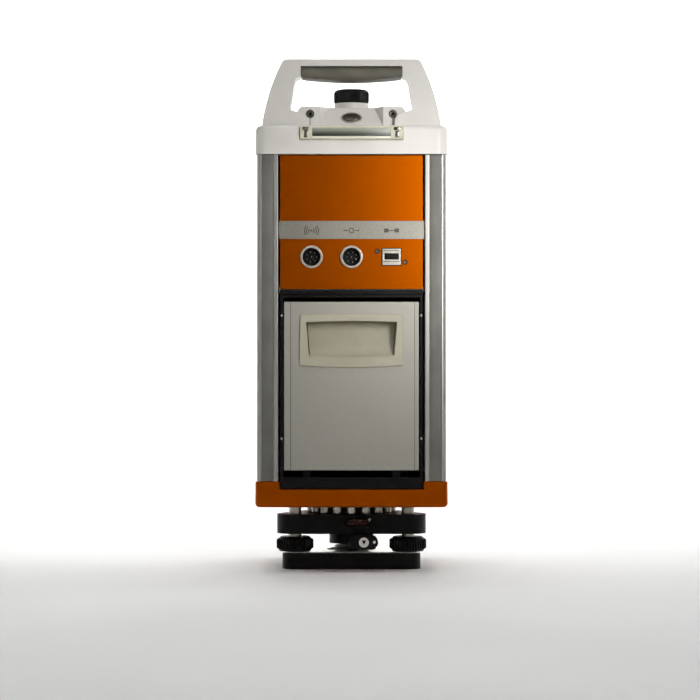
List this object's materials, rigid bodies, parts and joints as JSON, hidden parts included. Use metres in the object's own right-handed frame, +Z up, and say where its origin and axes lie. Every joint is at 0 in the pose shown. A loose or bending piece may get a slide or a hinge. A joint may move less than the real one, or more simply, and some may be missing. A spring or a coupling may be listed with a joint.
{
  "type": "terrestrial laser scanner",
  "caption": "Upright box-shaped laser scanner on a levelling tribrach, with slide-out battery, socket panel, arched carry handle and a spinning slanted mirror in an open slot.",
  "frame": {"origin": "centre of the tribrach base plate's underside, on the scanner's vertical axis", "axes": "+Z up along the scanner's vertical axis; -Y towards the operator's side with the battery and sockets; +Y out of the scan slot; +X to the right seen from the operator's side"},
  "size_m": [0.193, 0.221, 0.521],
  "materials": {
    "cover_plastic": "smooth off-white moulded plastic",
    "orange_anodised": "orange anodised, finely brushed along X",
    "anodised_post": "satin clear anodised extrusion",
    "bead_blasted": "fine bead-blasted silver sheet",
    "beige_plastic": "smooth beige moulded plastic",
    "grip_rubber": "soft grey-beige grip",
    "black_paint": "semi-matt black paint",
    "black_plastic": "matt black plastic",
    "steel": "turned bare steel",
    "clear_plastic": "clear slightly green polycarbonate",
    "light_guide": "grey-green translucent light guide",
    "white_mark": "white disc",
    "mirror_glass": "front-surface mirror",
    "window_glass": "coated window glass",
    "level_rim": "dark red lacquer",
    "level_glass": "yellow-green spirit under glass",
    "circuit_board": "green circuit board"
  },
  "bodies": {
    "tribrach": {"tribrach_base_plate": "black_paint", "tribrach_spring_plate": "steel", "tribrach_body": "black_paint", "level_cup": "level_rim", "level_vial": "level_glass", "adapter_plate": "steel", "azimuth_stator": "steel"},
    "head": {"azimuth_bearing": "steel", "azimuth_rotor": "steel", "base_tray": "orange_anodised", "corner_post_rear_left": "anodised_post", "corner_post_rear_right": "anodised_post", "corner_post_front_left": "anodised_post", "corner_post_front_right": "anodised_post", "side_cover_left": "cover_plastic", "side_cover_right": "cover_plastic", "connector_panel": "orange_anodised", "label_strip": "anodised_post", "socket_ring_left": "steel", "socket_ring_middle": "steel", "socket_insert_left": "black_plastic", "socket_insert_middle": "black_plastic", "usb_socket": "steel", "battery_bay": "black_paint", "front_panel": "bead_blasted", "arm_front_left": "orange_anodised", "arm_front_right": "orange_anodised", "mirror_bay": "black_paint", "scan_window": "window_glass", "top_cover": "cover_plastic", "console": "cover_plastic", "console_screw_left": "steel", "console_screw_right": "steel", "button_ring": "steel", "handle_arch": "cover_plastic", "handle_grip": "grip_rubber", "antenna_mount": "cover_plastic", "light_lens": "clear_plastic", "light_channel": "light_guide", "lens_screw_left": "steel", "lens_screw_right": "steel", "mirror_motor": "steel", "laser_module": "anodised_post", "main_board": "circuit_board", "deck_plate": "anodised_post"},
    "mirror": {"mirror_rotor": "black_paint", "mirror_glass": "mirror_glass"},
    "battery": {"battery_case": "bead_blasted", "battery_grip": "beige_plastic", "battery_cells": "black_plastic"},
    "power_button": {"power_button": "steel"},
    "antenna_cap": {"antenna_cap": "black_plastic"},
    "lock": {"lock_knob": "black_plastic", "lock_knob_mark": "white_mark"},
    "foot_screw_left": {"foot_screw_knob_left": "black_plastic", "foot_screw_spindle_left": "steel"},
    "foot_screw_right": {"foot_screw_knob_right": "black_plastic", "foot_screw_spindle_right": "steel"},
    "foot_screw_front": {"foot_screw_knob_front": "black_plastic", "foot_screw_spindle_front": "steel"}
  },
  "joints": [
    {"name": "azimuth_turn", "type": "hinge", "parent": "tribrach", "child": "head", "pos_m": [0, 0, 0.07], "axis": [0, 0, 1], "continuous": true},
    {"name": "mirror_spin", "type": "hinge", "parent": "head", "child": "mirror", "pos_m": [0, 0.062, 0.385], "axis": [1, 0, 0], "continuous": true},
    {"name": "battery_slide", "type": "slide", "parent": "head", "child": "battery", "axis": [0, -1, 0], "range_m": [0, 0.1]},
    {"name": "power_button_press", "type": "slide", "parent": "head", "child": "power_button", "axis": [0, 0.8321, -0.5547], "range_m": [0, 0.0013], "stiffness_N_per_m": 600, "springref_m": -0.0015},
    {"name": "antenna_cap_lift", "type": "slide", "parent": "head", "child": "antenna_cap", "axis": [0, 0, 1], "range_m": [0, 0.03]},
    {"name": "lock_turn", "type": "hinge", "parent": "tribrach", "child": "lock", "pos_m": [0.0126, -0.06, 0.029], "axis": [0, 1, 0], "range_deg": [0, 180]},
    {"name": "foot_screw_left_turn", "type": "hinge", "parent": "tribrach", "child": "foot_screw_left", "pos_m": [-0.05802, -0.0335, 0.025], "axis": [0, 0, 1], "range_deg": [-720, 720]},
    {"name": "foot_screw_right_turn", "type": "hinge", "parent": "tribrach", "child": "foot_screw_right", "pos_m": [0.05802, -0.0335, 0.025], "axis": [0, 0, 1], "range_deg": [-720, 720]},
    {"name": "foot_screw_front_turn", "type": "hinge", "parent": "tribrach", "child": "foot_screw_front", "pos_m": [0, 0.067, 0.025], "axis": [0, 0, 1], "range_deg": [-720, 720]}
  ]
}
